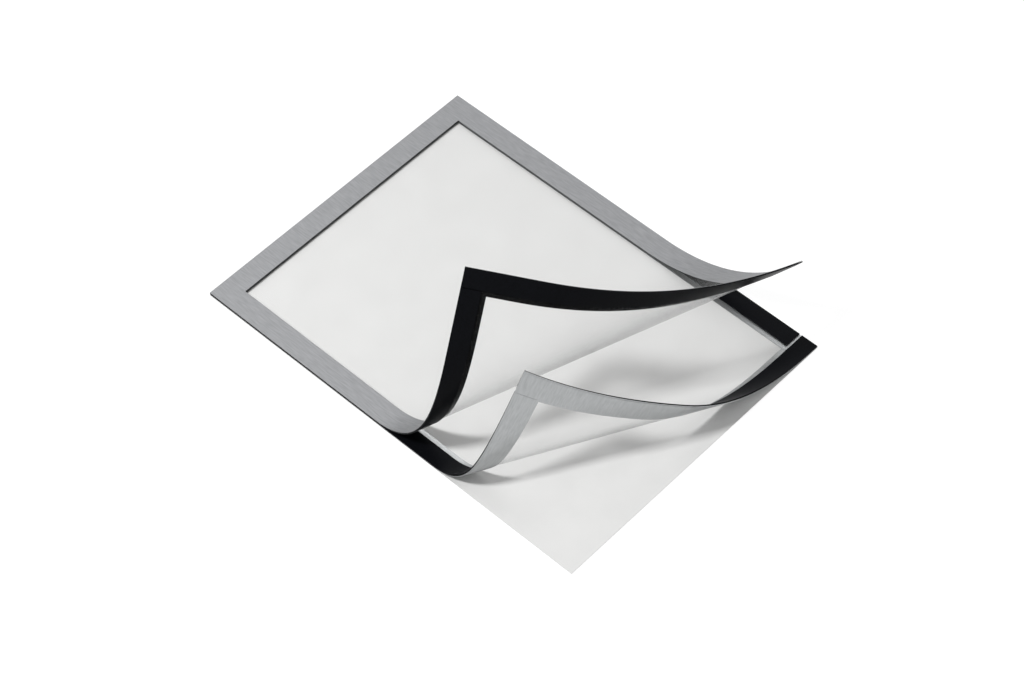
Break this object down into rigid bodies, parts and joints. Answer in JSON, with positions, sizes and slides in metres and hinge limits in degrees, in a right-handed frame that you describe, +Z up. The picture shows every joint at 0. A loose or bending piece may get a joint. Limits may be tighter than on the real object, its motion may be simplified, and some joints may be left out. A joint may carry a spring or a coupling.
{
  "type": "magnetic document pocket",
  "caption": "Self-adhesive A4 document pocket: clear film panels closed by magnetic strips under a silver border, its free end and one rear corner lifted over a backing sheet.",
  "frame": {"origin": "middle of the backing sheet's underside, on the surface that the pocket lies on", "axes": "+X along the long side, from the bonded short edge to the free short edge; +Y across it; +Z up from the sheets"},
  "size_m": [0.323, 0.2418, 0.1327],
  "materials": {
    "backing_paper": "smooth matte release paper",
    "adhesive_tape": "satin grey tape",
    "grey_print": "satin printed film",
    "clear_film": "clear glossy film",
    "magnet_rubber": "matte magnetic rubber strip",
    "silver_print": "satin silver print, black underneath"
  },
  "bodies": {
    "root": {"backing_sheet": "backing_paper", "adhesive_strip_hinge": "adhesive_tape", "adhesive_strip_free": "adhesive_tape", "adhesive_strip_near": "adhesive_tape", "adhesive_strip_far": "adhesive_tape", "rear_border": "grey_print", "rear_window_film": "clear_film", "rear_magnet_hinge": "magnet_rubber", "rear_magnet_free": "magnet_rubber", "rear_magnet_near": "magnet_rubber", "rear_magnet_far": "magnet_rubber", "hinge_tape": "adhesive_tape", "front_magnet_hinge": "magnet_rubber", "front_magnet_free": "magnet_rubber", "front_magnet_near": "magnet_rubber", "front_magnet_far": "magnet_rubber", "front_window_film": "clear_film", "front_border": "silver_print"}
  },
  "joints": []
}
